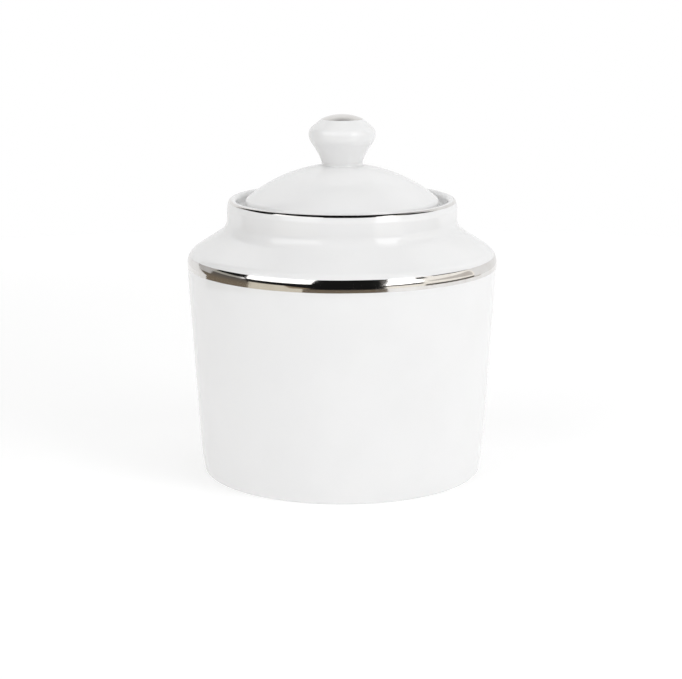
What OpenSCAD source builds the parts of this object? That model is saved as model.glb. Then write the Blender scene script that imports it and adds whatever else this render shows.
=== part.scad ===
// Lidded porcelain sugar bowl with platinum trim.
// Millimetres, +Z up. The origin is the centre of the foot's resting plane.
// Every piece is round, so each is one outline turned about the Z axis.

/* [Bowl] */
// Diameter at the foot, where the straight wall would meet the table
foot_d = 91.6; // [88:0.2:94]
// Largest diameter, at the shoulder
shoulder_d = 100; // [97:0.5:104]
// Height of the widest point of the shoulder
shoulder_z = 68.7; // [65:0.1:72]
// Wall thickness
wall = 3; // [2.4:0.1:3.4]
// Height of the floor inside
floor_z = 5; // [4:0.5:8]
// Rounding at the outer edge of the foot
foot_edge_r = 1.2; // [0.8:0.1:2]
// Height at which the wall starts to draw in towards the foot
tuck_z = 9.2; // [6:0.2:12]
// Radius of the curve that draws it in
tuck_r = 62; // [50:1:80]
// Radius of the slight outward swell of the wall below the shoulder
swell_r = 90; // [60:5:140]
// Radius of the shoulder's roll
roll_r = 5.5; // [4.5:0.1:6.5]
// Slope of the shoulder above its roll, in degrees from level
shoulder_slope = 33; // [30:1:36]

/* [Neck] */
// Outside diameter of the neck
neck_d = 74.2; // [73:0.2:76]
// Height of the rim
rim_z = 89.2; // [88:0.2:90]
// Radius of the hollow between shoulder and neck
neck_fillet_r = 5.4; // [2.5:0.1:6]
// Radius of the round rim
lip_r = 1.38; // [1.3:0.02:1.5]
// Angle at which the neck leans in under its rim, in degrees from upright
lean = 15; // [5:1:18]
// Height of the straight part of the lean, along its slope
lean_l = 1.2; // [0.8:0.1:1.6]
// Depth of the lid's seat below the rim
seat_depth = 3.4; // [2.8:0.1:4]
// Diameter of the mouth inside the seat
mouth_d = 55.8; // [55.4:0.2:57]

/* [Foot] */
// Diameter of the hollow under the base
foot_hollow_d = 80.4; // [70:0.2:82]
// Depth of the hollow under the base
foot_hollow_h = 1.6; // [1.4:0.1:2]

/* [Lid] */
// Outside diameter of the lid
lid_d = 62.4; // [61.6:0.2:64]
// Radius of the lid's dome
dome_r = 48; // [46:0.5:52]
// Height of the dome's top, below the knob
dome_z = 100.4; // [100:0.1:101]
// Thickness of the dome
dome_t = 2.8; // [2.4:0.1:3.2]
// Outside diameter of the flange that keeps the lid in the mouth
flange_d = 52.6; // [51.6:0.2:53]
// Thickness of the flange
flange_t = 2.3; // [2:0.1:2.6]
// Depth of the flange below the seat
flange_h = 4; // [3:0.5:5]

/* [Knob] */
// Largest diameter of the knob
knob_d = 21.5; // [20.5:0.1:21.8]
// Height of the knob's widest point
knob_z = 110; // [109.6:0.1:110.6]
// Diameter of the short neck that is luted to the dome
knob_neck_d = 11.9; // [11:0.1:12]
// Diameter of the stem at its lower end
stem_d = 13.1; // [12.8:0.1:13.4]
// Radius of the rounding under the knob's widest point
knob_under_r = 5.1; // [4.6:0.1:5.6]
// Radius of the rounding over the knob's widest point
knob_over_r = 2.9; // [2.6:0.1:3.2]
// Slope of the knob above its roundings, in degrees from level
knob_slope = 39; // [37:1:41]
// Diameter of the platinum cap
cap_d = 13.2; // [12.6:0.1:13.8]
// Radius of the cap's dome
cap_r = 16.2; // [14:0.1:20]

/* [Platinum] */
// Width of the band on the shoulder
band_w = 3.9; // [3:0.1:4.5]
// Height of the band's lower edge below the widest point
band_drop = 1; // [0.6:0.1:1.6]
// Where the rim's line starts outside, in degrees up from level
rim_line_from = 30; // [20:1:45]
// Where the rim's line ends near the top, in degrees up from level outside
rim_line_to = 67; // [60:1:140]
// How deep the platinum is let into the glaze
inlay = 0.25; // [0.15:0.05:0.4]
// How far the platinum stands out of the glaze
proud = 0.04; // [0.02:0.01:0.08]

/* [Hidden] */
$fn = 96;

PORCELAIN = [0.95, 0.95, 0.94];
PLATINUM = [0.72, 0.71, 0.69];

// Distance below which two outline points count as one
SAME = 0.001;

// Points of a circular arc in the [radius, height] plane, from angle a0 to a1
function arc(centre, r, a0, a1) =
    let (steps = max(1, ceil(abs(a1 - a0) * sqrt(r) / 20)))
    [for (i = [0 : steps])
        let (a = a0 + (a1 - a0) * i / steps)
        centre + r * [cos(a), sin(a)]];

function back(points) = [for (i = [len(points) - 1 : -1 : 0]) points[i]];

// The same outline without points that repeat the one before
function joined(points) =
    [for (i = [0 : len(points) - 1])
        if (i == 0 || norm(points[i] - points[max(0, i - 1)]) > SAME) points[i]];

module turned(outline) {
    rotate_extrude($fn = 96)
        polygon(joined(outline));
}

// ---- bowl: outside ----
foot_r = foot_d / 2;
shoulder_r = shoulder_d / 2;
swell_c = [shoulder_r - swell_r, shoulder_z];
roll_c = [shoulder_r - roll_r, shoulder_z];

// The straight wall runs up to where it touches the swell, square to wall_angle
foot_to_swell = [foot_r, 0] - swell_c;
wall_angle = atan2(foot_to_swell.y, foot_to_swell.x) + acos(swell_r / norm(foot_to_swell));

// It draws in towards the foot along a curve that touches the wall and the rounded edge
tuck_c = [foot_r - tuck_z * tan(wall_angle), tuck_z] - tuck_r * [cos(wall_angle), sin(wall_angle)];
foot_edge_a = -asin((tuck_c.y - foot_edge_r) / (tuck_r - foot_edge_r));
foot_edge_c = [tuck_c.x + (tuck_r - foot_edge_r) * cos(foot_edge_a), foot_edge_r];

// The band starts on the swell and ends on the roll
band_a0 = -asin(band_drop / swell_r);
band_a1 = (band_w - band_drop) / roll_r * 180 / PI;

function band_face(offset) =
    concat(arc(swell_c, swell_r + offset, band_a0, 0), arc(roll_c, roll_r + offset, 0, band_a1));

// The hollow between shoulder and neck touches the slope and the neck
neck_r = neck_d / 2;
roll_end = roll_c + roll_r * [sin(shoulder_slope), cos(shoulder_slope)];
neck_fillet_c = [
    neck_r + neck_fillet_r,
    roll_end.y + (roll_end.x - neck_r - neck_fillet_r) * tan(shoulder_slope)
        + neck_fillet_r / cos(shoulder_slope)
];

// The neck bends in, leans straight in, and ends in its round rim
lean_r = 3;
lip_c = [
    neck_r - lean_r + (lean_r - lip_r) * cos(lean) - lean_l * sin(lean),
    rim_z - lip_r
];
lean_c = [neck_r - lean_r, lip_c.y - (lean_r - lip_r) * sin(lean) - lean_l * cos(lean)];
function rim_face(offset) = arc(lip_c, lip_r + offset, rim_line_from, rim_line_to);

// ---- bowl: inside ----
seat_z = rim_z - seat_depth;
seat_corner_r = 0.8;
seat_corner_c = [lip_c.x - lip_r - seat_corner_r, seat_z + seat_corner_r];
nose_r = 1.5;
nose_c = [mouth_d / 2 + nose_r, seat_z - nose_r];
inner_roll_r = roll_r - wall;

// One straight face runs from the seat's nose down to the inside of the shoulder
roll_to_nose = nose_c - roll_c;
under_angle = atan2(roll_to_nose.y, roll_to_nose.x) + asin((nose_r + inner_roll_r) / norm(roll_to_nose));

floor_corner_r = 8;
floor_corner_c = [
    foot_r - (floor_z + floor_corner_r) * tan(wall_angle) - (wall + floor_corner_r) / cos(wall_angle),
    floor_z + floor_corner_r
];

// ---- bowl: under the base ----
foot_hollow_r = foot_hollow_d / 2;
foot_inner_edge_r = 0.7;
hollow_corner_r = 0.6;

bowl_outline = concat(
    [[0, foot_hollow_h]],
    arc([foot_hollow_r - hollow_corner_r, foot_hollow_h - hollow_corner_r], hollow_corner_r, 90, 0),
    arc([foot_hollow_r + foot_inner_edge_r, foot_inner_edge_r], foot_inner_edge_r, 180, 270),
    arc(foot_edge_c, foot_edge_r, -90, foot_edge_a),
    arc(tuck_c, tuck_r, foot_edge_a, wall_angle),
    arc(swell_c, swell_r, wall_angle, band_a0),
    band_face(-inlay),
    arc(roll_c, roll_r, band_a1, 90 - shoulder_slope),
    arc(neck_fillet_c, neck_fillet_r, 270 - shoulder_slope, 180),
    arc(lean_c, lean_r, 0, lean),
    arc(lip_c, lip_r, lean, rim_line_from),
    rim_face(-inlay),
    arc(lip_c, lip_r, rim_line_to, 180),
    arc(seat_corner_c, seat_corner_r, 0, -90),
    arc(nose_c, nose_r, 90, under_angle + 90),
    arc(roll_c, inner_roll_r, under_angle - 90, 0),
    arc(swell_c, swell_r - wall, 0, wall_angle),
    arc(floor_corner_c, floor_corner_r, wall_angle, -90),
    [[0, floor_z]]
);

// ---- lid ----
dome_c = [0, dome_z - dome_r];
lid_r = lid_d / 2;
flange_r = flange_d / 2;
flange_in_r = flange_r - flange_t;

// Height above the dome's centre at which a circle of radius r is reached sideways
function reach(r, sideways) = sqrt(r * r - sideways * sideways);

// Rounding where the dome turns down to the lid's edge
edge_r = 1.5;
edge_c = dome_c + [lid_r - edge_r, reach(dome_r - edge_r, lid_r - edge_r)];
edge_a = atan2(edge_c.y - dome_c.y, edge_c.x);

// Hollow corner between the dome's inside and the flange
inner_r = dome_r - dome_t;
inner_corner_r = 3;
inner_corner_c = dome_c
    + [flange_in_r - inner_corner_r, reach(inner_r - inner_corner_r, flange_in_r - inner_corner_r)];
inner_corner_a = atan2(inner_corner_c.y - dome_c.y, inner_corner_c.x);

// Roundings of the lid's resting edge, and of the corner beside the flange
rest_r = 0.6;
flange_end_c = [flange_r - flange_t / 2, seat_z - flange_h + flange_t / 2];

// The dome is flat under the knob
knob_neck_r = knob_neck_d / 2;
knob_seat_z = dome_c.y + reach(dome_r, knob_neck_r);

lid_outline = concat(
    arc(dome_c, inner_r, 90, inner_corner_a),
    arc(inner_corner_c, inner_corner_r, inner_corner_a, 0),
    arc(flange_end_c, flange_t / 2, 180, 360),
    arc([flange_r + rest_r, seat_z - rest_r], rest_r, 180, 90),
    arc([lid_r - rest_r, seat_z + rest_r], rest_r, -90, 0),
    arc(edge_c, edge_r, 0, edge_a),
    arc(dome_c, dome_r, edge_a, acos(knob_neck_r / dome_r)),
    [[0, knob_seat_z]]
);

// ---- knob ----
knob_r = knob_d / 2;
cap_edge_r = cap_d / 2;
under_c = [knob_r - knob_under_r, knob_z];
over_c = [knob_r - knob_over_r, knob_z];

// The stem flares in a hollow curve that touches the rounding under the widest point
stem_flare_r = 21.5;
stem_a = 37;
stem_c = under_c + (knob_under_r + stem_flare_r) * [cos(stem_a), -sin(stem_a)];
stem_foot_a = 180 - acos((stem_c.x - stem_d / 2) / stem_flare_r);
stem_foot = stem_c + stem_flare_r * [cos(stem_foot_a), sin(stem_foot_a)];
stem_edge_r = 0.45;
stem_edge_c = stem_foot + stem_edge_r * [cos(stem_foot_a), sin(stem_foot_a)];

over_end = over_c + knob_over_r * [sin(knob_slope), cos(knob_slope)];
cap_a = acos(cap_edge_r / cap_r);
cap_c = [0, over_end.y + (over_end.x - cap_edge_r) * tan(knob_slope) - cap_r * sin(cap_a)];

function cap_face(offset) = arc(cap_c, cap_r + offset, cap_a, 90);

knob_outline = concat(
    [[0, knob_seat_z], [knob_neck_r, knob_seat_z], [knob_neck_r, stem_edge_c.y - stem_edge_r]],
    arc(stem_edge_c, stem_edge_r, -90, stem_foot_a - 180),
    arc(stem_c, stem_flare_r, stem_foot_a, 180 - stem_a),
    arc(under_c, knob_under_r, -stem_a, 0),
    arc(over_c, knob_over_r, 0, 90 - knob_slope),
    [cap_c + cap_r * [cos(cap_a), sin(cap_a)]],
    cap_face(-inlay)
);

// Foot, wall, shoulder, neck and the lid's seat, cast and fired as one
module bowl_body() {
    color(PORCELAIN)
        turned(bowl_outline);
}

// Platinum band on the shoulder's widest edge
module shoulder_band() {
    color(PLATINUM)
        turned(concat(band_face(proud), back(band_face(-inlay))));
}

// Platinum line round the rim
module rim_line() {
    color(PLATINUM)
        turned(concat(rim_face(proud), back(rim_face(-inlay))));
}

// Dome, resting edge and the flange that drops into the mouth
module lid_dome() {
    color(PORCELAIN)
        turned(lid_outline);
}

// Knob, cast on its own and luted to the dome
module lid_knob() {
    color(PORCELAIN)
        turned(knob_outline);
}

// Platinum cap on the knob's top
module knob_cap() {
    color(PLATINUM)
        turned(concat(back(cap_face(-inlay)), cap_face(proud)));
}

bowl_body();
shoulder_band();
rim_line();
lid_dome();
lid_knob();
knob_cap();
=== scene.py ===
import math

import bpy
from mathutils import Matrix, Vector, noise


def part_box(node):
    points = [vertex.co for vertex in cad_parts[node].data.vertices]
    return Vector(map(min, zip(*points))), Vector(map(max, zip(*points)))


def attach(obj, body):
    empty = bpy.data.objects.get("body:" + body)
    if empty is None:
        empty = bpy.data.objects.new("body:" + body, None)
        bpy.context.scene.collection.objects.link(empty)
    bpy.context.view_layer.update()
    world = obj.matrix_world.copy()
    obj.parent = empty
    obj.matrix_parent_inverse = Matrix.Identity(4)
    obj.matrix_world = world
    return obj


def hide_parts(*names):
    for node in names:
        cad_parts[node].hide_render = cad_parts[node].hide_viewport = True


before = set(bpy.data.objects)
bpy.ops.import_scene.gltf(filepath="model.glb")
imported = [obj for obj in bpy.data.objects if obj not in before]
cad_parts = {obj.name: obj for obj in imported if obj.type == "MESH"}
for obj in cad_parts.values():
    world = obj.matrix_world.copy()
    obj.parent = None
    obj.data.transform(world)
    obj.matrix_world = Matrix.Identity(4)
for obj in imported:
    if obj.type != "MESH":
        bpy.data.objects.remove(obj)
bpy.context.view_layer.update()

MM = 0.001


# ---- sizes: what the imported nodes' boxes give, then the curves that a box doesn't show ----
rim_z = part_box("bowl_body")[1].z
band_low, band_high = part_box("shoulder_band")
dome_low, dome_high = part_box("lid_dome")
knob_low, knob_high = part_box("lid_knob")
cap_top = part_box("knob_cap")[1].z

# Platinum film: how far it stands out of the glaze, and how far it reaches into it
FILM_PROUD = 0.04 * MM
FILM_DEPTH = 0.1 * MM

# Bowl, outside
shoulder_r = band_high.x - FILM_PROUD
SHOULDER_Z = 68.7 * MM
FOOT_R = 45.8 * MM
FOOT_EDGE_R = 1.2 * MM
TUCK_Z = 9.2 * MM
TUCK_R = 62 * MM
SWELL_R = 90 * MM
ROLL_R = 5.5 * MM
SHOULDER_SLOPE = 33
NECK_R = 37.1 * MM
NECK_FILLET_R = 5.4 * MM
LIP_R = 1.38 * MM

# Under its lip the neck bends in, then leans straight in
LEAN_R = 3 * MM
LEAN_L = 1.2 * MM
LEAN = 15

# Bowl, inside and underneath
WALL = 3 * MM
FLOOR_Z = 5 * MM
FLOOR_CORNER_R = 8 * MM
MOUTH_R = 27.9 * MM
SEAT_CORNER_R = 0.8 * MM
NOSE_R = 1.5 * MM
HOLLOW_R = 40.2 * MM
HOLLOW_H = 1.6 * MM
HOLLOW_CORNER_R = 0.6 * MM
FOOT_INNER_EDGE_R = 0.7 * MM

# Lid
FLANGE_H = 4 * MM
FLANGE_R = 26.3 * MM
FLANGE_T = 2.3 * MM
DOME_R = 48 * MM
DOME_T = 2.8 * MM
LID_EDGE_R = 1.5 * MM
LID_CORNER_R = 3 * MM
REST_R = 0.6 * MM
lid_r = dome_high.x
seat_z = dome_low.z + FLANGE_H

# Knob
knob_r = knob_high.x
KNOB_Z = 110 * MM
KNOB_NECK_R = 5.95 * MM
KNOB_JOINT_R = 0.6 * MM
STEM_R = 6.55 * MM
STEM_EDGE_R = 0.45 * MM
STEM_FLARE_R = 21.5 * MM
STEM_ANGLE = 37
KNOB_UNDER_R = 5.1 * MM
KNOB_OVER_R = 2.9 * MM
KNOB_SLOPE = 39
CAP_EDGE_R = 6.6 * MM
CAP_R = 16.2 * MM

# Rim line, in degrees round the lip from level outside
RIM_LINE_FROM = 27
RIM_LINE_TO = 67


# ---- outlines in the (radius, height) plane, with the solid on the left of the way they run ----
ARC_TURN = 6        # most degrees between an arc's points
ARC_CHORD = 2 * MM  # most distance between an arc's points
LINE_STEP = 4 * MM  # most distance between a straight run's points
SAME = 0.001 * MM   # less than this apart, two points are one


def on_circle(centre, radius, degrees):
    angle = math.radians(degrees)
    return (centre[0] + radius * math.cos(angle), centre[1] + radius * math.sin(angle))


def arc(centre, radius, start, end, bare=0.0, count=None):
    """A stroke along a circle, from one angle to another, as (point, outward normal, bare) triples."""
    span = abs(end - start)
    if count is None:
        count = max(2, math.ceil(max(span / ARC_TURN, math.radians(span) * radius / ARC_CHORD)))
    side = 1 if end > start else -1
    stroke = []
    for i in range(count + 1):
        degrees = start + (end - start) * i / count
        stroke.append((on_circle(centre, radius, degrees), on_circle((0, 0), side, degrees), bare))
    return stroke


def line(start, end, bare=0.0):
    """A straight stroke, as (point, outward normal, bare) triples."""
    run = (end[0] - start[0], end[1] - start[1])
    length = math.hypot(*run)
    normal = (run[1] / length, -run[0] / length)
    count = math.ceil(length / LINE_STEP)
    return [
        ((start[0] + run[0] * i / count, start[1] + run[1] * i / count), normal, bare)
        for i in range(count + 1)
    ]


def steps(strokes, closed):
    """The outline's short steps, each between two triples. Straight runs join one stroke to the next."""
    found = []
    ends = strokes + strokes[:1] if closed else strokes
    for number, stroke in enumerate(ends):
        if number > 0:
            start, end = ends[number - 1][-1][0], stroke[0][0]
            if math.dist(start, end) > SAME:
                joint = line(start, end)
                found += zip(joint, joint[1:])
        if number < len(strokes):
            found += zip(stroke, stroke[1:])
    return found


SEGMENTS = 192


def turned(name, strokes_at, closed=False):
    """A piece made by turning an outline about the Z axis. strokes_at(azimuth) gives its strokes there."""
    vertices, bares, faces, normals = [], [], [], []
    columns = []
    axis_vertices = {}

    def vertex(point, azimuth, bare):
        if point[0] < SAME:
            if point[1] not in axis_vertices:
                axis_vertices[point[1]] = len(vertices)
                vertices.append((0, 0, point[1]))
                bares.append(bare)
            return axis_vertices[point[1]]
        vertices.append((point[0] * math.cos(azimuth), point[0] * math.sin(azimuth), point[1]))
        bares.append(bare)
        return len(vertices) - 1

    for number in range(SEGMENTS):
        azimuth = 2 * math.pi * number / SEGMENTS
        path = steps(strokes_at(azimuth), closed)
        column = [vertex(start[0], azimuth, start[2]) for start, _ in path]
        column.append(column[0] if closed else vertex(path[-1][1][0], azimuth, path[-1][1][2]))
        columns.append((azimuth, path, column))

    for number, (azimuth, path, column) in enumerate(columns):
        next_azimuth, _, next_column = columns[(number + 1) % SEGMENTS]
        for i, (start, end) in enumerate(path):
            corners = [
                (column[i], start[1], azimuth),
                (next_column[i], start[1], next_azimuth),
                (next_column[i + 1], end[1], next_azimuth),
                (column[i + 1], end[1], azimuth),
            ]
            if corners[0][0] == corners[1][0]:
                del corners[1]
            elif corners[2][0] == corners[3][0]:
                del corners[3]
            faces.append([corner[0] for corner in corners])
            for _, (out, up), angle in corners:
                normals.append((out * math.cos(angle), out * math.sin(angle), up))

    mesh = bpy.data.meshes.new(name)
    mesh.from_pydata(vertices, [], faces)
    mesh.polygons.foreach_set("use_smooth", [True] * len(mesh.polygons))
    mesh.normals_split_custom_set(normals)
    mesh.attributes.new("bare", "FLOAT", "POINT").data.foreach_set("value", bares)
    mesh.update()
    piece = bpy.data.objects.new(name, mesh)
    bpy.context.scene.collection.objects.link(piece)
    return piece


WANDER_ROUND = 2.2  # radius, in the noise, of one turn round the edge
WANDER_GAIN = 0.9
WANDER_DETAIL = 3


def wander(azimuth, seed, reach):
    """How far a hand-banded edge strays at that azimuth, either way and by about reach at most."""
    place = Vector((WANDER_ROUND * math.cos(azimuth), WANDER_ROUND * math.sin(azimuth), seed))
    return reach * noise.fractal(place, WANDER_GAIN, 2.0, WANDER_DETAIL)


# ---- bowl ----
swell_c = (shoulder_r - SWELL_R, SHOULDER_Z)
roll_c = (shoulder_r - ROLL_R, SHOULDER_Z)


def direction(start, end):
    """Length and angle, in degrees, of the way from one point to another."""
    run = (end[0] - start[0], end[1] - start[1])
    return math.hypot(*run), math.degrees(math.atan2(run[1], run[0]))


# The straight wall touches the swell, square to wall_angle
to_foot, to_foot_angle = direction(swell_c, (FOOT_R, 0))
wall_angle = to_foot_angle + math.degrees(math.acos(SWELL_R / to_foot))
wall_lean = math.tan(math.radians(wall_angle))
tuck_c = on_circle((FOOT_R - TUCK_Z * wall_lean, TUCK_Z), -TUCK_R, wall_angle)
foot_edge_angle = -math.degrees(math.asin((tuck_c[1] - FOOT_EDGE_R) / (TUCK_R - FOOT_EDGE_R)))
foot_edge_c = on_circle(tuck_c, TUCK_R - FOOT_EDGE_R, foot_edge_angle)

# The hollow between shoulder and neck touches the slope and the neck
slope_start = on_circle(roll_c, ROLL_R, 90 - SHOULDER_SLOPE)
neck_fillet_x = NECK_R + NECK_FILLET_R
neck_fillet_c = (
    neck_fillet_x,
    slope_start[1]
    + (slope_start[0] - neck_fillet_x) * math.tan(math.radians(SHOULDER_SLOPE))
    + NECK_FILLET_R / math.cos(math.radians(SHOULDER_SLOPE)),
)

# The lean, from its bend up to the round of the lip
lean = math.radians(LEAN)
lean_drop = (LEAN_R - LIP_R) * math.sin(lean) + LEAN_L * math.cos(lean)
lean_c = (NECK_R - LEAN_R, rim_z - LIP_R - lean_drop)
lean_from = on_circle(lean_c, LEAN_R, LEAN)
lean_to = on_circle(lean_from, LEAN_L, LEAN + 90)
lip_c = on_circle(lean_to, -LIP_R, LEAN)

# The seat's nose and the inside of the shoulder share one straight face
seat_corner_c = (lip_c[0] - LIP_R - SEAT_CORNER_R, seat_z + SEAT_CORNER_R)
nose_c = (MOUTH_R + NOSE_R, seat_z - NOSE_R)
inner_roll_r = ROLL_R - WALL
to_nose, to_nose_angle = direction(roll_c, nose_c)
under_angle = to_nose_angle + math.degrees(math.asin((NOSE_R + inner_roll_r) / to_nose))
floor_corner_c = (
    FOOT_R
    - (FLOOR_Z + FLOOR_CORNER_R) * wall_lean
    - (WALL + FLOOR_CORNER_R) / math.cos(math.radians(wall_angle)),
    FLOOR_Z + FLOOR_CORNER_R,
)
hollow_corner_c = (HOLLOW_R - HOLLOW_CORNER_R, HOLLOW_H - HOLLOW_CORNER_R)
foot_inner_edge_c = (HOLLOW_R + FOOT_INNER_EDGE_R, FOOT_INNER_EDGE_R)


def axis_point(z):
    """A stroke of one point on the Z axis, where an outline starts or ends."""
    return [((0.0, z), None, 0.0)]


def bowl_strokes(azimuth):
    foot_ring = line((foot_inner_edge_c[0], 0.0), (foot_edge_c[0], 0.0), bare=1.0)
    return [
        axis_point(HOLLOW_H),
        arc(hollow_corner_c, HOLLOW_CORNER_R, 90, 0),
        arc(foot_inner_edge_c, FOOT_INNER_EDGE_R, 180, 270),
        foot_ring,
        arc(foot_edge_c, FOOT_EDGE_R, -90, foot_edge_angle),
        arc(tuck_c, TUCK_R, foot_edge_angle, wall_angle),
        arc(swell_c, SWELL_R, wall_angle, 0),
        arc(roll_c, ROLL_R, 0, 90 - SHOULDER_SLOPE),
        arc(neck_fillet_c, NECK_FILLET_R, 270 - SHOULDER_SLOPE, 180),
        arc(lean_c, LEAN_R, 0, LEAN),
        line(lean_from, lean_to),
        arc(lip_c, LIP_R, LEAN, 180),
        arc(seat_corner_c, SEAT_CORNER_R, 0, -90),
        arc(nose_c, NOSE_R, 90, under_angle + 90),
        arc(roll_c, inner_roll_r, under_angle - 90, 0),
        arc(swell_c, SWELL_R - WALL, 0, wall_angle),
        arc(floor_corner_c, FLOOR_CORNER_R, wall_angle, -90),
        axis_point(FLOOR_Z),
    ]


# ---- platinum films: a face over the glaze, and the same face within it, run back ----
FILM_WANDER = 0.09 * MM
BAND_LOW_SEED = 3
BAND_HIGH_SEED = 11
RIM_LOW_SEED = 23
RIM_HIGH_SEED = 31
CAP_SEED = 43


def back(strokes):
    """The same strokes run the other way, with their normals turned round."""
    return [
        [(point, (-normal[0], -normal[1]), bare) for point, normal, bare in reversed(stroke)]
        for stroke in reversed(strokes)
    ]


def film(face):
    """Strokes of a thin film. face(offset) gives the strokes of a face at that offset from the glaze."""
    return face(FILM_PROUD) + back(face(-FILM_DEPTH))


band_from = math.degrees(math.asin((band_low.z - SHOULDER_Z) / SWELL_R))
band_to = math.degrees(math.asin((band_high.z - SHOULDER_Z) / (ROLL_R + FILM_PROUD)))


def band_strokes(azimuth):
    low = band_from + math.degrees(wander(azimuth, BAND_LOW_SEED, FILM_WANDER) / SWELL_R)
    high = band_to + math.degrees(wander(azimuth, BAND_HIGH_SEED, FILM_WANDER) / ROLL_R)
    return film(
        lambda offset: [
            arc(swell_c, SWELL_R + offset, low, 0, count=4),
            arc(roll_c, ROLL_R + offset, 0, high, count=10),
        ]
    )


def rim_line_strokes(azimuth):
    low = RIM_LINE_FROM + math.degrees(wander(azimuth, RIM_LOW_SEED, FILM_WANDER) / LIP_R)
    high = RIM_LINE_TO + math.degrees(wander(azimuth, RIM_HIGH_SEED, FILM_WANDER) / LIP_R)
    return film(lambda offset: [arc(lip_c, LIP_R + offset, low, high, count=12)])


# ---- lid ----
dome_c = (0.0, knob_low.z - math.sqrt(DOME_R ** 2 - KNOB_NECK_R ** 2))
knob_neck_angle = math.degrees(math.acos(KNOB_NECK_R / DOME_R))


def within_dome(radius, x):
    """The point at distance radius from the dome's centre, x out from the axis."""
    return (x, dome_c[1] + math.sqrt(radius ** 2 - x ** 2))


lid_edge_c = within_dome(DOME_R - LID_EDGE_R, lid_r - LID_EDGE_R)
lid_edge_angle = direction(dome_c, lid_edge_c)[1]
dome_inner_r = DOME_R - DOME_T
lid_corner_c = within_dome(dome_inner_r - LID_CORNER_R, FLANGE_R - FLANGE_T - LID_CORNER_R)
lid_corner_angle = direction(dome_c, lid_corner_c)[1]
flange_end_c = (FLANGE_R - FLANGE_T / 2, dome_low.z + FLANGE_T / 2)


def lid_strokes(azimuth):
    rest = line((FLANGE_R + REST_R, seat_z), (lid_r - REST_R, seat_z), bare=1.0)
    return [
        arc(dome_c, dome_inner_r, 90, lid_corner_angle),
        arc(lid_corner_c, LID_CORNER_R, lid_corner_angle, 0),
        arc(flange_end_c, FLANGE_T / 2, 180, 360),
        arc((FLANGE_R + REST_R, seat_z - REST_R), REST_R, 180, 90),
        rest,
        arc((lid_r - REST_R, seat_z + REST_R), REST_R, -90, 0),
        arc(lid_edge_c, LID_EDGE_R, 0, lid_edge_angle),
        arc(dome_c, DOME_R, lid_edge_angle, knob_neck_angle),
        axis_point(knob_low.z),
    ]


# ---- knob ----
under_c = (knob_r - KNOB_UNDER_R, KNOB_Z)
over_c = (knob_r - KNOB_OVER_R, KNOB_Z)
stem_c = on_circle(under_c, KNOB_UNDER_R + STEM_FLARE_R, -STEM_ANGLE)
stem_foot_angle = 180 - math.degrees(math.acos((stem_c[0] - STEM_R) / STEM_FLARE_R))
stem_edge_c = on_circle(stem_c, STEM_FLARE_R + STEM_EDGE_R, stem_foot_angle)
over_end = on_circle(over_c, KNOB_OVER_R, 90 - KNOB_SLOPE)
cap_c = (0.0, cap_top - FILM_PROUD - CAP_R)
cap_angle = math.degrees(math.acos(CAP_EDGE_R / CAP_R))

# Glaze fills the groove round the knob's neck, and meets the dome in a small hollow
joint_x = stem_edge_c[0] + STEM_EDGE_R + KNOB_JOINT_R
joint_c = (joint_x, within_dome(DOME_R, joint_x)[1] + KNOB_JOINT_R)
joint_angle = math.degrees(math.acos(joint_x / DOME_R))


def knob_strokes(azimuth):
    return [
        axis_point(knob_low.z),
        arc(dome_c, DOME_R, knob_neck_angle, joint_angle),
        arc(joint_c, KNOB_JOINT_R, 270, 180),
        arc(stem_edge_c, STEM_EDGE_R, 0, stem_foot_angle - 180),
        arc(stem_c, STEM_FLARE_R, stem_foot_angle, 180 - STEM_ANGLE),
        arc(under_c, KNOB_UNDER_R, -STEM_ANGLE, 0),
        arc(over_c, KNOB_OVER_R, 0, 90 - KNOB_SLOPE),
        arc(cap_c, CAP_R, cap_angle, 90),
    ]


def cap_strokes(azimuth):
    edge = cap_angle + math.degrees(wander(azimuth, CAP_SEED, FILM_WANDER) / CAP_R)
    outer = arc(cap_c, CAP_R + FILM_PROUD, edge, 90, count=16)
    inner = arc(cap_c, CAP_R - FILM_DEPTH, 90, edge, count=16)
    return [inner, outer]


# ---- materials ----
class Nodes:
    """Short calls for building one material's nodes."""

    def __init__(self, name):
        self.material = bpy.data.materials.new(name)
        self.material.use_nodes = True
        self.tree = self.material.node_tree
        self.shader = self.tree.nodes["Principled BSDF"]

    def add(self, kind, inputs=(), **settings):
        node = self.tree.nodes.new(kind)
        for key, value in settings.items():
            setattr(node, key, value)
        for socket, value in dict(inputs).items():
            self.feed(node.inputs[socket], value)
        return node

    def feed(self, socket, value):
        if isinstance(value, bpy.types.NodeSocket):
            self.tree.links.new(value, socket)
        else:
            socket.default_value = value

    def maths(self, operation, *values):
        return self.add("ShaderNodeMath", enumerate(values), operation=operation).outputs[0]

    def noise(self, vector, scale, detail=2.0):
        inputs = {"Vector": vector, "Scale": scale, "Detail": detail}
        return self.add("ShaderNodeTexNoise", inputs).outputs["Fac"]

    def between(self, value, low, high, to_low=0.0, to_high=1.0):
        """value taken smoothly from the range low to high into the range to_low to to_high."""
        inputs = {"Value": value, "From Min": low, "From Max": high, "To Min": to_low, "To Max": to_high}
        return self.add("ShaderNodeMapRange", inputs, interpolation_type="SMOOTHSTEP").outputs["Result"]

    def mixed(self, share, first, second):
        node = self.add("ShaderNodeMix", data_type="RGBA")
        self.feed(node.inputs["Factor"], share)
        self.feed(node.inputs[6], first)
        self.feed(node.inputs[7], second)
        return node.outputs[2]

    def bumped(self, height, distance, strength=1.0, normal=None):
        node = self.add("ShaderNodeBump", {"Height": height, "Distance": distance, "Strength": strength})
        if normal is not None:
            self.feed(node.inputs["Normal"], normal)
        return node.outputs["Normal"]

    def place(self):
        return self.add("ShaderNodeTexCoord").outputs["Object"]


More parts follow.
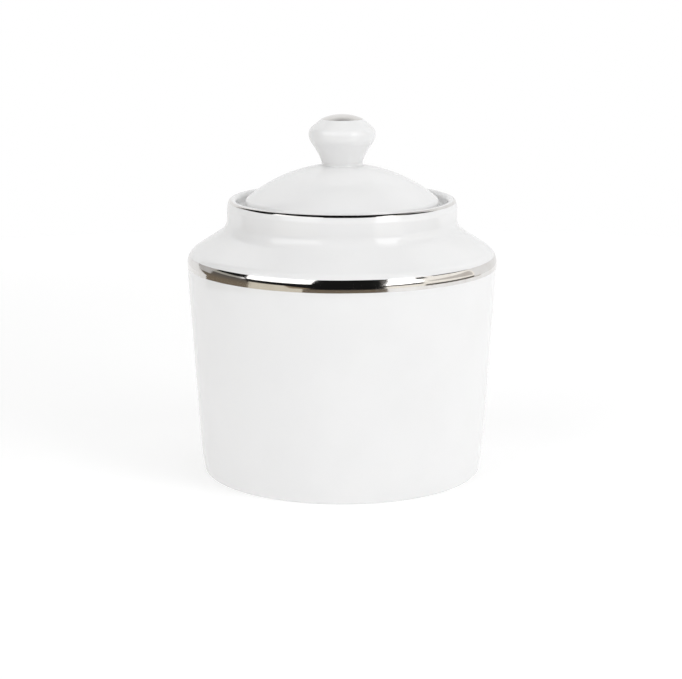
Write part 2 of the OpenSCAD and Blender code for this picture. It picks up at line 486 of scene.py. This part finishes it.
def grey(value, warmth=0.0):
    """A near-neutral colour; warmth takes from the blue and adds to the red."""
    return (value * (1 + warmth), value, value * (1 - warmth), 1.0)


GLAZE_LIGHT = grey(0.845)
GLAZE_SHADE = grey(0.83)
BISCUIT_LIGHT = grey(0.70, 0.03)
BISCUIT_SHADE = grey(0.62, 0.05)
BISCUIT_ROUGHNESS = 0.6
PLATINUM_LIGHT = grey(0.74, 0.02)
PLATINUM_SHADE = grey(0.70, 0.03)


def porcelain():
    """Clear glossy glaze over white porcelain, and bare matt biscuit where a piece stood in the kiln."""
    n = Nodes("porcelain")
    place = n.place()
    bare_edge = n.noise(place, scale=900.0, detail=3.0)
    bare_value = n.add("ShaderNodeAttribute", attribute_name="bare").outputs["Fac"]
    bare = n.between(n.maths("ADD", bare_value, n.maths("MULTIPLY", bare_edge, 0.5)), low=0.85, high=1.0)

    depth = n.noise(place, scale=45.0, detail=3.0)
    glaze = n.mixed(n.between(depth, low=0.35, high=0.65), GLAZE_SHADE, GLAZE_LIGHT)
    grain = n.noise(place, scale=5000.0)
    biscuit = n.mixed(n.between(grain, low=0.3, high=0.7), BISCUIT_SHADE, BISCUIT_LIGHT)
    n.feed(n.shader.inputs["Base Color"], n.mixed(bare, glaze, biscuit))

    hazes = n.noise(place, scale=160.0, detail=3.0)
    polish = n.between(hazes, low=0.3, high=0.7, to_low=0.01, to_high=0.03)
    matt = n.maths("MULTIPLY", bare, BISCUIT_ROUGHNESS)
    n.feed(n.shader.inputs["Roughness"], n.maths("ADD", polish, matt))
    n.shader.inputs["IOR"].default_value = 1.5
    n.shader.inputs["Subsurface Weight"].default_value = 0.12
    n.shader.inputs["Subsurface Radius"].default_value = (1.0, 0.95, 0.9)
    n.shader.inputs["Subsurface Scale"].default_value = 1.2 * MM

    waves = n.bumped(n.noise(place, scale=55.0, detail=1.0), distance=0.02 * MM, strength=0.5)
    peel_height = n.noise(place, scale=900.0, detail=1.0)
    peel = n.bumped(peel_height, distance=0.0006 * MM, strength=0.5, normal=waves)
    rough = n.bumped(n.maths("MULTIPLY", grain, bare), distance=0.03 * MM, strength=0.6, normal=peel)
    n.feed(n.shader.inputs["Normal"], rough)
    return n.material


STREAKS_ACROSS = 60.0  # how much closer the platinum's streaks lie than they are long


def platinum():
    """Bright platinum, brushed on as it turned: faint streaks run round, and it thins here and there."""
    n = Nodes("platinum")
    x, y, z = n.add("ShaderNodeSeparateXYZ", {"Vector": n.place()}).outputs
    out = n.maths("SQRT", n.maths("ADD", n.maths("MULTIPLY", x, x), n.maths("MULTIPLY", y, y)))
    across = n.maths("MULTIPLY", n.maths("SUBTRACT", z, out), STREAKS_ACROSS)
    round_x = n.maths("DIVIDE", x, n.maths("MAXIMUM", out, MM))
    round_y = n.maths("DIVIDE", y, n.maths("MAXIMUM", out, MM))
    streak_place = n.add("ShaderNodeCombineXYZ", {"X": round_x, "Y": round_y, "Z": across}).outputs[0]
    streaks = n.noise(streak_place, scale=40.0)
    patches = n.noise(n.place(), scale=220.0, detail=4.0)

    metal = n.mixed(n.between(patches, low=0.35, high=0.7), PLATINUM_LIGHT, PLATINUM_SHADE)
    n.feed(n.shader.inputs["Base Color"], metal)
    n.shader.inputs["Metallic"].default_value = 1.0
    worn = n.between(patches, low=0.35, high=0.75, to_low=0.05, to_high=0.11)
    brushed = n.between(streaks, low=0.3, high=0.7, to_high=0.03)
    n.feed(n.shader.inputs["Roughness"], n.maths("ADD", worn, brushed))
    uneven = n.bumped(patches, distance=0.004 * MM, strength=0.4)
    n.feed(n.shader.inputs["Normal"], n.bumped(streaks, distance=0.0012 * MM, strength=0.5, normal=uneven))
    return n.material


PORCELAIN = porcelain()
PLATINUM = platinum()


# ---- the pieces, each in its CAD node's place ----
FIT = 0.3 * MM  # the CAD lets its films 0.25 mm into the porcelain, which is whole here


def dress(node, strokes_at, material, body, closed=False):
    """Turns the piece that stands for a CAD node, and stops if it leaves that node's box."""
    piece = turned(node + "_finish", strokes_at, closed)
    piece.data.materials.append(material)
    low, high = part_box(node)
    for vertex in piece.data.vertices:
        if any(c < l - FIT or c > h + FIT for c, l, h in zip(vertex.co, low, high)):
            raise ValueError(f"{piece.name} leaves the box of {node} at {vertex.co}")
    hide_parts(node)
    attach(piece, body)


dress("bowl_body", bowl_strokes, PORCELAIN, "bowl")
dress("shoulder_band", band_strokes, PLATINUM, "bowl", closed=True)
dress("rim_line", rim_line_strokes, PLATINUM, "bowl", closed=True)
dress("lid_dome", lid_strokes, PORCELAIN, "lid")
dress("lid_knob", knob_strokes, PORCELAIN, "lid")
dress("knob_cap", cap_strokes, PLATINUM, "lid")


# ---- stage: a white table in an even white room ----
def staged(name, vertices, faces, material):
    mesh = bpy.data.meshes.new(name)
    mesh.from_pydata(vertices, [], faces)
    mesh.materials.append(material)
    item = bpy.data.objects.new(name, mesh)
    bpy.context.scene.collection.objects.link(item)
    return item


FLOOR_REACH = 0.49  # just inside the ring of cards
FLOOR_CORNERS = 96
FLOOR_GAP = 0.01 * MM
FLOOR_TONE = grey(0.62)
FLOOR_GLOW = 0.45
floor_look = Nodes("floor")
floor_look.shader.inputs["Base Color"].default_value = FLOOR_TONE
floor_look.shader.inputs["Roughness"].default_value = 0.9
floor_look.shader.inputs["Specular IOR Level"].default_value = 0.0
floor_look.shader.inputs["Emission Color"].default_value = grey(1.0)
floor_look.shader.inputs["Emission Strength"].default_value = FLOOR_GLOW
turns = [math.tau * i / FLOOR_CORNERS for i in range(FLOOR_CORNERS)]
floor_corners = [(FLOOR_REACH * math.cos(a), FLOOR_REACH * math.sin(a), -FLOOR_GAP) for a in turns]
staged("floor", floor_corners, [range(FLOOR_CORNERS)], floor_look.material)

world = bpy.data.worlds.new("white_room")
world.use_nodes = True
world.node_tree.nodes["Background"].inputs["Color"].default_value = grey(1.0)
world.node_tree.nodes["Background"].inputs["Strength"].default_value = 1.0
world.cycles.sampling_method = "NONE"
bpy.context.scene.world = world


# ---- cards round the table: what the glaze and the platinum reflect ----
def card_look(name, sampled):
    """A card that gives off the colour stored at its corners."""
    material = bpy.data.materials.new(name)
    material.use_nodes = True
    tree = material.node_tree
    tree.nodes.clear()
    tone = tree.nodes.new("ShaderNodeAttribute")
    tone.attribute_name = "tone"
    glow = tree.nodes.new("ShaderNodeEmission")
    output = tree.nodes.new("ShaderNodeOutputMaterial")
    tree.links.new(tone.outputs["Color"], glow.inputs["Color"])
    tree.links.new(glow.outputs[0], output.inputs["Surface"])
    material.cycles.emission_sampling = "FRONT_BACK" if sampled else "NONE"
    return material


LIT_CARD = card_look("lit_card", sampled=True)
DIM_CARD = card_look("dim_card", sampled=False)
DIM_BELOW = 1.3  # a card no brighter than this isn't sampled as a light
CARD_STEP = 3  # degrees
CARD_ROWS = 8


def between(a, b, share):
    return a + (b - a) * share


def card(name, corners, first, last=None, lights=False, reflects=True):
    """A card that curves round the axis. Its corners are low left, low right, high left and high right, each
    as an azimuth, in degrees from the camera's side towards its right, a distance from the axis and a height.
    Its colour runs from first, low, to last, high. It shows in reflections, lights matt surfaces, or both.
    """
    low_left, low_right, high_left, high_right = corners
    last = last or first
    count = math.ceil(max(low_right[0] - low_left[0], high_right[0] - high_left[0]) / CARD_STEP)
    vertices, tones, faces = [], [], []
    for i in range(count + 1):
        low = [between(a, b, i / count) for a, b in zip(low_left, low_right)]
        high = [between(a, b, i / count) for a, b in zip(high_left, high_right)]
        for j in range(CARD_ROWS + 1):
            share = j / CARD_ROWS
            azimuth, distance, height = (between(a, b, share) for a, b in zip(low, high))
            azimuth = math.radians(azimuth)
            vertices.append((distance * math.sin(azimuth), -distance * math.cos(azimuth), height))
            tones += [between(a, b, share) for a, b in zip(first, last)]
    for i in range(count):
        for j in range(CARD_ROWS):
            corner = i * (CARD_ROWS + 1) + j
            faces.append((corner, corner + CARD_ROWS + 1, corner + CARD_ROWS + 2, corner + 1))
    item = staged(name, vertices, faces, LIT_CARD if max(first[0], last[0]) > DIM_BELOW else DIM_CARD)
    item.data.attributes.new("tone", "FLOAT_COLOR", "POINT").data.foreach_set("color", tones)
    item.visible_camera = False
    item.visible_diffuse = lights
    item.visible_glossy = reflects
    item.visible_shadow = lights  # a card that doesn't light must not darken the floor


RING = 0.5      # how far off the standing cards are
LAYER = 0.005   # from one card to another in front of it
FOOT = 0.0      # height of the standing cards' lower edge
CEILING = 0.95
BOX_TOP = 0.61  # how high the soft boxes show; above it, up to the ceiling, their fills only light
LYING = 0.5 * MM  # height of the cards that lie on the table


def standing(name, corners, first, last=None, layer=0, **seen):
    """A card on the ring. Its corners are low left, low right, high left and high right: azimuth, height."""
    distance = RING - layer * LAYER
    card(name, [(azimuth, distance, height) for azimuth, height in corners], first, last, **seen)


def upright(name, azimuths, heights, first, last=None, **options):
    """A card on the ring, square to the table."""
    corners = [(azimuth, height) for height in heights for azimuth in azimuths]
    standing(name, corners, first, last, **options)


def level(name, azimuths, distances, height, tone):
    """A level card, from one distance to another."""
    card(name, [(azimuth, distance, height) for distance in distances for azimuth in azimuths], tone)


BLACK = grey(0.01)
SOOT = grey(0.1, 0.05)
BROWN = (0.2, 0.162, 0.118, 1.0)
UMBER = (0.3, 0.24, 0.17, 1.0)
STONE = (0.43, 0.42, 0.38, 1.0)
BEIGE = (0.74, 0.69, 0.58, 1.0)
CREAM = (1.1, 1.06, 0.98, 1.0)
PALE = grey(0.93)
LEFT_LIGHT = grey(1.97)
LEFT_FILL = grey(1.9)
RIGHT_LIGHT = grey(3.4)

# In front, the dark around the camera
standing("front", ((-22, FOOT), (30, FOOT), (-22, CEILING), (44, CEILING)), BLACK)
upright("front_fill", (-22, 37), (FOOT, CEILING), grey(0.5), layer=-1, lights=True, reflects=False)
standing("front_right", ((26, 0.1), (30, 0.1), (30, 0.5), (37, 0.5)), SOOT, layer=1)

# On the left, a soft box over a pale table
standing("left_wall", ((-66, FOOT), (-22, FOOT), (-100, CEILING), (-22, CEILING)), BLACK)
left_box_corners = ((-72, 0.22), (-22, 0.24), (-87, BOX_TOP), (-22, BOX_TOP))
standing("left_box", left_box_corners, LEFT_LIGHT, layer=1, lights=True)
left_fill_corners = ((-87, BOX_TOP), (-22, BOX_TOP), (-96, CEILING), (-22, CEILING))
standing("left_fill", left_fill_corners, LEFT_FILL, layer=1, lights=True, reflects=False)
standing("left_table", ((-68, FOOT), (-36, FOOT), (-68, 0.115), (-40, 0.1)), BEIGE, layer=1)
standing("left_near", ((-36, FOOT), (-22, FOOT), (-40, 0.1), (-22, 0.035)), UMBER, layer=1)

# Further left, a dark corner
left_corner_corners = ((-113, FOOT), (-66, FOOT), (-133, 0.19), (-66, 0.19))
standing("left_corner", left_corner_corners, BROWN, SOOT, lights=True)
upright("left_shelf", (-133, -78), (0.19, 0.25), STONE, lights=True)
standing("left_top", ((-133, 0.25), (-66, 0.25), (-133, CEILING), (-92, CEILING)), BLACK, lights=True)
standing("left_paper", ((-124, 0.09), (-107, 0.09), (-137, 0.3), (-107, 0.3)), grey(0.52, 0.02), layer=1)

# On the right, a stronger soft box, and a white card with a streak, a clamp and a dark top
standing("right_wall", ((30, FOOT), (108, FOOT), (44, CEILING), (108, CEILING)), SOOT)
right_box_corners = ((30, 0.15), (59, 0.17), (41, BOX_TOP), (61, BOX_TOP))
standing("right_box", right_box_corners, RIGHT_LIGHT, layer=2, lights=True)
right_fill_corners = ((41, BOX_TOP), (61, BOX_TOP), (48, CEILING), (63, CEILING))
standing("right_fill", right_fill_corners, RIGHT_LIGHT, layer=2, lights=True, reflects=False)
upright("right_table", (30, 60), (FOOT, 0.098), CREAM, layer=1)
right_card_corners = ((58, 0.06), (108, 0.035), (61, CEILING), (108, CEILING))
standing("right_card", right_card_corners, CREAM, grey(1.3), layer=1)
standing("right_streak", ((63, 0.16), (106, 0.07), (63, 0.19), (106, 0.22)), grey(0.62, 0.06), layer=2)
upright("right_clamp", (58, 67), (0.325, 0.42), BLACK, layer=3)
right_top_corners = ((75, 0.37), (108, 0.26), (75, CEILING), (108, CEILING))
standing("right_top", right_top_corners, BLACK, layer=2, lights=True)

# Behind, a pale backdrop that darkens towards the ceiling
upright("backdrop", (108, 227), (FOOT, 0.45), PALE, lights=True)
standing("backdrop_left", ((227, FOOT), (247, FOOT), (227, 0.19), (227.1, 0.19)), PALE, lights=True)
upright("backdrop_top", (108, 227), (0.45, CEILING), PALE, grey(0.1), lights=True)
level("ceiling", (-180, 180), (0.001, RING), CEILING, BLACK)

# The table top: brown in front and black beyond its edge there, beige on the left, then brown, and
# brown at its right edge
level("table_front", (-27, 31), (0.3, 0.415), LYING, BROWN)
level("table_front_far", (-27, 31), (0.415, RING), LYING, BLACK)
level("table_left", (-68, -27), (0.3, RING), LYING, BEIGE)
level("table_corner", (-113, -68), (0.3, RING), LYING, BROWN)
level("table_edge", (58, 118), (0.43, RING), LYING, UMBER)


# ---- camera, in front and a little above ----
CAMERA_DISTANCE = 0.6331
CAMERA_HEIGHT = 0.1821
CAMERA_SIDE = -0.00036
CAMERA_TILT = 12.43
CAMERA_LENS = 104.6
SENSOR_WIDTH = 36.0
camera = bpy.data.cameras.new("camera")
camera.sensor_width = SENSOR_WIDTH
camera.lens = CAMERA_LENS
camera_object = bpy.data.objects.new("camera", camera)
camera_object.location = (CAMERA_SIDE, -CAMERA_DISTANCE, CAMERA_HEIGHT)
camera_object.rotation_euler = (math.radians(90 - CAMERA_TILT), 0, 0)
bpy.context.scene.collection.objects.link(camera_object)
bpy.context.scene.camera = camera_object

bpy.context.scene.view_settings.view_transform = "Standard"
